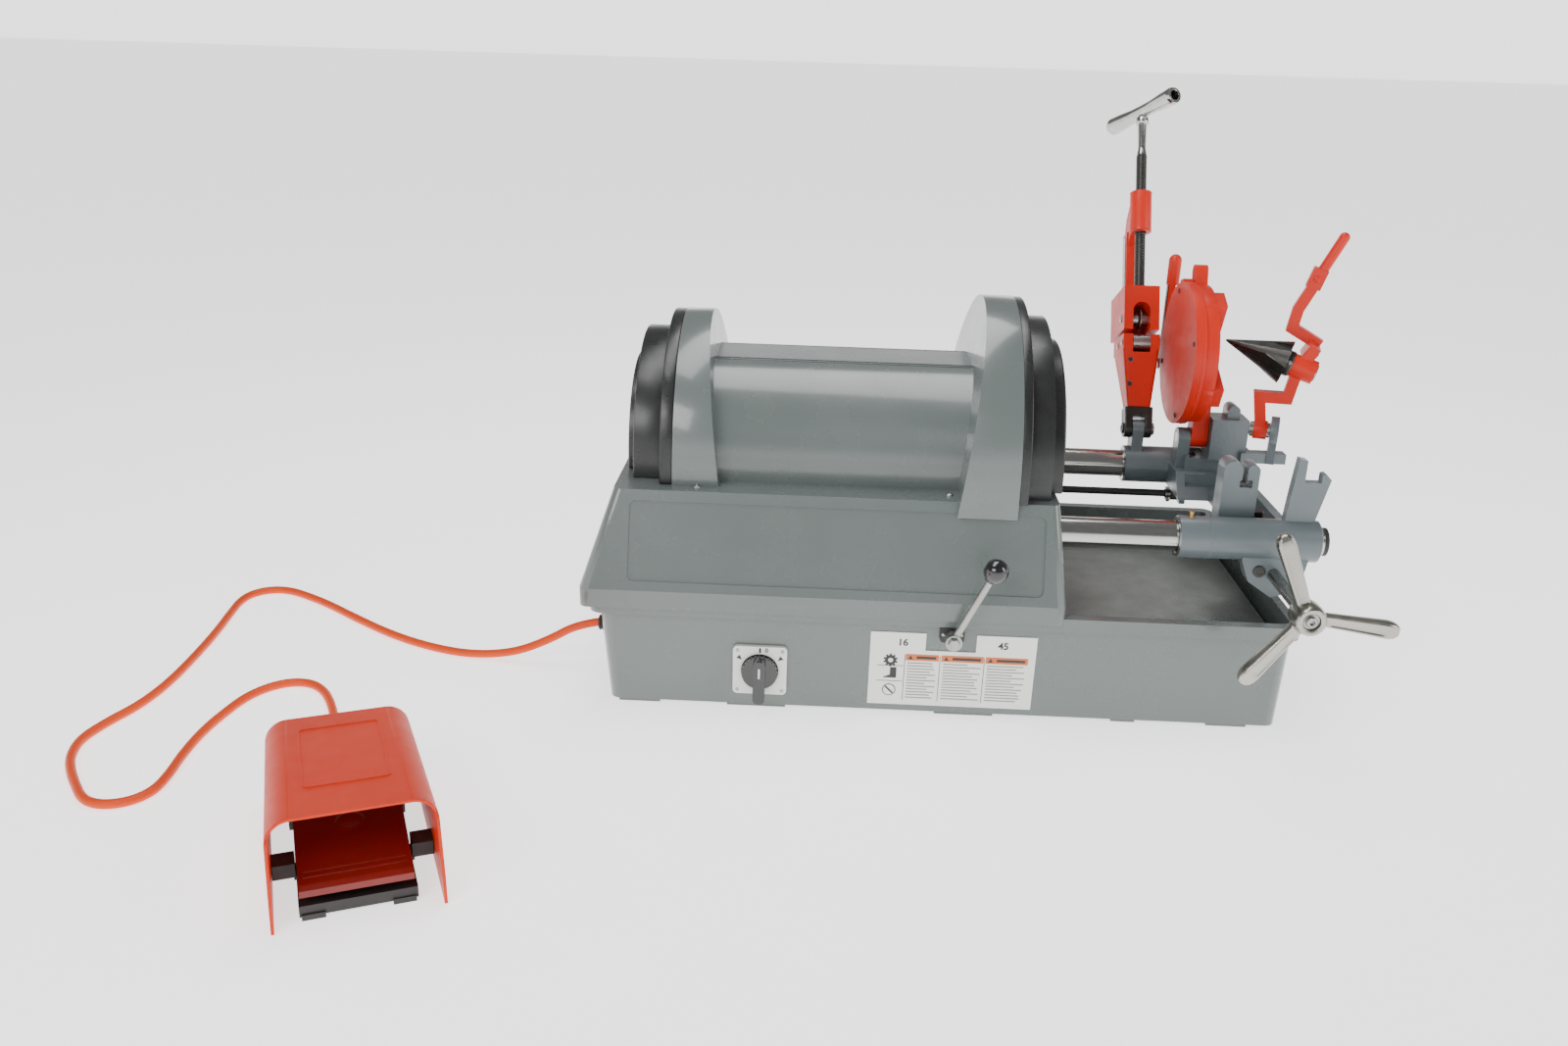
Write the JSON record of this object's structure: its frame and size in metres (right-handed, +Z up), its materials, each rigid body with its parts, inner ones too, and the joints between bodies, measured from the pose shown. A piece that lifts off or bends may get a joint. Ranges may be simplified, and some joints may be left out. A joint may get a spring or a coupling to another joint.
{
  "type": "pipe threading machine",
  "caption": "Motor-driven pipe threading machine: a chuck, and a railed carriage carrying a swing-over pipe cutter, self-opening die head and reamer, worked by a guarded foot switch.",
  "frame": {"origin": "middle of the four stand bolt holes in the base, in the plane of the pads it stands on", "axes": "+X along the spindle from the headstock towards the carriage, +Y away from the operator's side, +Z up"},
  "size_m": [1.5434, 1.1187, 0.7488],
  "materials": {
    "housing_paint": "semi-gloss enamel",
    "cover_black": "satin moulded",
    "cast_paint": "semi-gloss enamel over a casting",
    "frame_iron": "rough cast",
    "bronze": "machined",
    "machined_steel": "turned",
    "rail_chrome": "ground and plated",
    "motor_paint": "satin",
    "dark_steel": "blackened",
    "red_enamel": "gloss enamel over a casting",
    "head_grey": "machined casting",
    "wheel_nickel": "satin casting",
    "screen_steel": "embossed sheet",
    "plate_white": "moulded",
    "label_white": "printed plate",
    "rubber_black": "matt",
    "knob_black": "gloss",
    "guard_orange": "gloss enamel",
    "pedal_red": "satin enamel",
    "bracket_black": "satin",
    "cord_orange": "satin jacket"
  },
  "bodies": {
    "machine": {"base_tray": "housing_paint", "chip_screen": "screen_steel", "upper_housing": "housing_paint", "front_ring": "cover_black", "front_cover": "cover_black", "rear_ring": "cover_black", "rear_cover": "cover_black", "headstock_frame": "frame_iron", "spindle_bearings": "bronze", "gear_motor": "motor_paint", "front_rail": "rail_chrome", "rear_rail": "rail_chrome", "rail_plugs": "rubber_black", "rail_rack": "dark_steel", "switch_plate": "plate_white", "label_plate": "label_white", "lever_bezel": "rubber_black", "foot_guard": "guard_orange", "foot_base": "bracket_black", "foot_brackets": "bracket_black", "foot_cord": "cord_orange", "cord_glands": "rubber_black"},
    "spindle": {"spindle_tube": "machined_steel", "spindle_gear": "dark_steel", "chuck_body": "machined_steel"},
    "motor_pinion": {"motor_pinion": "dark_steel"},
    "jaw_1": {"jaw_1": "dark_steel"},
    "jaw_2": {"jaw_2": "dark_steel"},
    "jaw_3": {"jaw_3": "dark_steel"},
    "carriage": {"carriage_casting": "cast_paint", "hinge_pins": "machined_steel", "oil_hose": "rubber_black"},
    "handwheel": {"handwheel_hub": "wheel_nickel", "handwheel_spokes": "wheel_nickel", "pinion_shaft": "machined_steel"},
    "cutter": {"cutter_knuckle": "dark_steel", "cutter_frame": "red_enamel", "roller_pins": "machined_steel"},
    "roller_front": {"roller_front": "machined_steel"},
    "roller_rear": {"roller_rear": "machined_steel"},
    "wheel_block": {"wheel_block": "red_enamel", "wheel_pin": "machined_steel"},
    "feed_screw": {"feed_screw": "dark_steel", "t_handle": "rail_chrome"},
    "cutter_wheel": {"cutter_wheel": "machined_steel"},
    "die_head": {"die_head_body": "red_enamel", "die_face_plate": "head_grey"},
    "cam_ring": {"cam_ring": "red_enamel"},
    "chaser_1": {"chaser_1": "dark_steel"},
    "chaser_2": {"chaser_2": "dark_steel"},
    "chaser_3": {"chaser_3": "dark_steel"},
    "chaser_4": {"chaser_4": "dark_steel"},
    "trip_lever": {"trip_lever": "red_enamel"},
    "reamer": {"reamer_arm": "red_enamel", "reamer_cone": "dark_steel", "reamer_shaft": "machined_steel"},
    "switch_knob": {"switch_knob": "knob_black"},
    "shift_lever": {"shift_lever": "machined_steel", "shift_knob": "knob_black"},
    "pedal": {"foot_pedal": "pedal_red"}
  },
  "joints": [
    {"name": "spindle_spin", "type": "hinge", "parent": "machine", "child": "spindle", "pos_m": [-0.16, 0, 0.297], "axis": [1, 0, 0], "continuous": true},
    {"name": "motor_pinion_spin", "type": "hinge", "parent": "machine", "child": "motor_pinion", "pos_m": [-0.05, 0, 0.172], "axis": [1, 0, 0], "continuous": true},
    {"name": "jaw_1_slide", "type": "slide", "parent": "spindle", "child": "jaw_1", "axis": [0, 0, -1], "range_m": [0, 0.027]},
    {"name": "jaw_2_slide", "type": "slide", "parent": "spindle", "child": "jaw_2", "axis": [0, 0.866, 0.5], "range_m": [0, 0.027]},
    {"name": "jaw_3_slide", "type": "slide", "parent": "spindle", "child": "jaw_3", "axis": [0, -0.866, 0.5], "range_m": [0, 0.027]},
    {"name": "carriage_slide", "type": "slide", "parent": "machine", "child": "carriage", "axis": [1, 0, 0], "range_m": [-0.09, 0]},
    {"name": "handwheel_turn", "type": "hinge", "parent": "carriage", "child": "handwheel", "pos_m": [0.404, -0.3, 0.1958], "axis": [0, -1, 0], "range_deg": [-225, 0]},
    {"name": "cutter_swing", "type": "hinge", "parent": "carriage", "child": "cutter", "pos_m": [0.293, 0.1536, 0.287], "axis": [1, 0, 0], "range_deg": [0, 111]},
    {"name": "roller_front_spin", "type": "hinge", "parent": "cutter", "child": "roller_front", "pos_m": [0.293, 0.19247, 0.40349], "axis": [1, 0, 0], "continuous": true},
    {"name": "roller_rear_spin", "type": "hinge", "parent": "cutter", "child": "roller_rear", "pos_m": [0.293, 0.21785, 0.39165], "axis": [1, 0, 0], "continuous": true},
    {"name": "wheel_block_feed", "type": "slide", "parent": "cutter", "child": "wheel_block", "axis": [0, 0.4226, 0.9063], "range_m": [-0.004, 0.05]},
    {"name": "feed_screw_turn", "type": "hinge", "parent": "wheel_block", "child": "feed_screw", "pos_m": [0.293, 0.1536, 0.287], "axis": [0, 0.4226, 0.9063], "range_deg": [-360, 4500]},
    {"name": "cutter_wheel_spin", "type": "hinge", "parent": "wheel_block", "child": "cutter_wheel", "pos_m": [0.293, 0.2208, 0.4311], "axis": [1, 0, 0], "continuous": true},
    {"name": "head_swing", "type": "hinge", "parent": "carriage", "child": "die_head", "pos_m": [0.37, 0.1176, 0.287], "axis": [1, 0, 0], "range_deg": [0, 84]},
    {"name": "cam_ring_turn", "type": "hinge", "parent": "die_head", "child": "cam_ring", "pos_m": [0.338, 0.1238, 0.4049], "axis": [1, 0, 0], "range_deg": [-30, 0]},
    {"name": "chaser_1_slide", "type": "slide", "parent": "die_head", "child": "chaser_1", "axis": [0, -0.891, -0.454], "range_m": [0, 0.004]},
    {"name": "chaser_2_slide", "type": "slide", "parent": "die_head", "child": "chaser_2", "axis": [0, 0.454, -0.891], "range_m": [0, 0.004]},
    {"name": "chaser_3_slide", "type": "slide", "parent": "die_head", "child": "chaser_3", "axis": [0, 0.891, 0.454], "range_m": [0, 0.004]},
    {"name": "chaser_4_slide", "type": "slide", "parent": "die_head", "child": "chaser_4", "axis": [0, -0.454, 0.891], "range_m": [0, 0.004]},
    {"name": "trip_lever_swing", "type": "hinge", "parent": "die_head", "child": "trip_lever", "pos_m": [0.336, 0.2288, 0.366], "axis": [1, 0, 0], "range_deg": [-25, 0]},
    {"name": "reamer_swing", "type": "hinge", "parent": "carriage", "child": "reamer", "pos_m": [0.447, 0.0985, 0.3073], "axis": [-0.9613, 0.2756, 0], "range_deg": [-96, 0]},
    {"name": "shift_lever_throw", "type": "hinge", "parent": "machine", "child": "shift_lever", "pos_m": [0.0128, -0.24, 0.119], "axis": [0, 1, 0], "range_deg": [-62, 0]},
    {"name": "switch_turn", "type": "hinge", "parent": "machine", "child": "switch_knob", "pos_m": [-0.2217, -0.20805, 0.057], "axis": [0, -0.9969, -0.0791], "range_deg": [-45, 45]},
    {"name": "pedal_press", "type": "hinge", "parent": "machine", "child": "pedal", "pos_m": [-0.64889, -0.49143, 0.05], "axis": [0.9217, 0.388, 0], "range_deg": [0, 2.5], "stiffness_Nm_per_rad": 12, "springref_deg": -6.88}
  ],
  "couplings": [
    {"joint": "motor_pinion_spin", "follows": "spindle_spin", "ratio": -4},
    {"joint": "jaw_2_slide", "follows": "jaw_1_slide", "ratio": 1},
    {"joint": "jaw_3_slide", "follows": "jaw_1_slide", "ratio": 1},
    {"joint": "handwheel_turn", "follows": "carriage_slide", "rad_per_m": 43.478},
    {"joint": "wheel_block_feed", "follows": "feed_screw_turn", "m_per_rad": 0.00063662},
    {"joint": "chaser_1_slide", "follows": "cam_ring_turn", "m_per_rad": -0.0076394},
    {"joint": "chaser_2_slide", "follows": "cam_ring_turn", "m_per_rad": -0.0076394},
    {"joint": "chaser_3_slide", "follows": "cam_ring_turn", "m_per_rad": -0.0076394},
    {"joint": "chaser_4_slide", "follows": "cam_ring_turn", "m_per_rad": -0.0076394}
  ]
}
